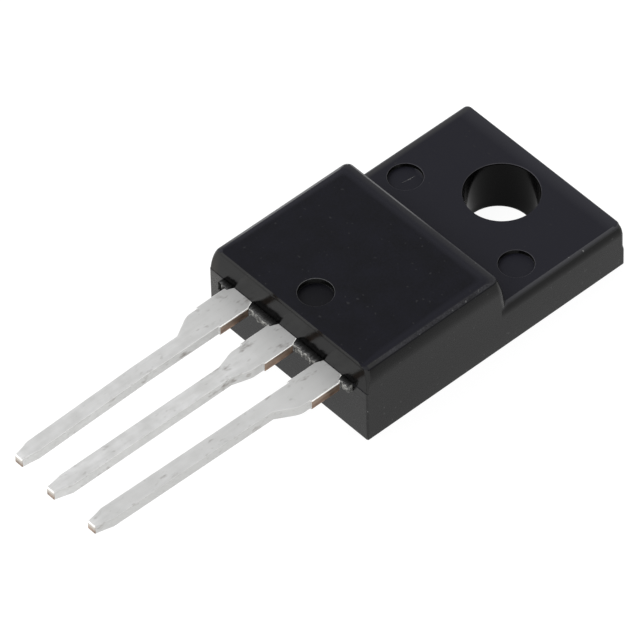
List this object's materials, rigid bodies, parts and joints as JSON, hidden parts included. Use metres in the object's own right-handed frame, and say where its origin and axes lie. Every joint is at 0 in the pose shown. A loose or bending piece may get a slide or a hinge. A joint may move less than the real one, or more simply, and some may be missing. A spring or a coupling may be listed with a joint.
{
  "type": "power transistor",
  "caption": "Fully moulded power transistor: black epoxy block with a thinner screw tab and a row of flat tinned leads for through-hole soldering.",
  "frame": {"origin": "centre of the screw hole, on the mounting face", "axes": "+Z out of the marked face, along the screw hole towards the screw's head; +Y along the moulding from the leads to the tab; +X to the right as seen from the lead end"},
  "size_m": [0.01, 0.0283, 0.0044],
  "materials": {
    "epoxy_moulding": "black moulded epoxy with a fine matt tool texture, glossier on the lead-end face",
    "tinned_copper": "copper plated with matt tin, bare copper where the tie bar was sheared off and at the cut tips",
    "silicon": "polished silicon",
    "solder": "dull solder",
    "aluminium_wire": "drawn aluminium"
  },
  "bodies": {
    "root": {"moulded_body": "epoxy_moulding", "drain_lead_and_header": "tinned_copper", "gate_lead": "tinned_copper", "source_lead": "tinned_copper", "silicon_chip": "silicon", "chip_solder": "solder", "gate_wire": "aluminium_wire", "source_wire": "aluminium_wire"}
  },
  "joints": []
}
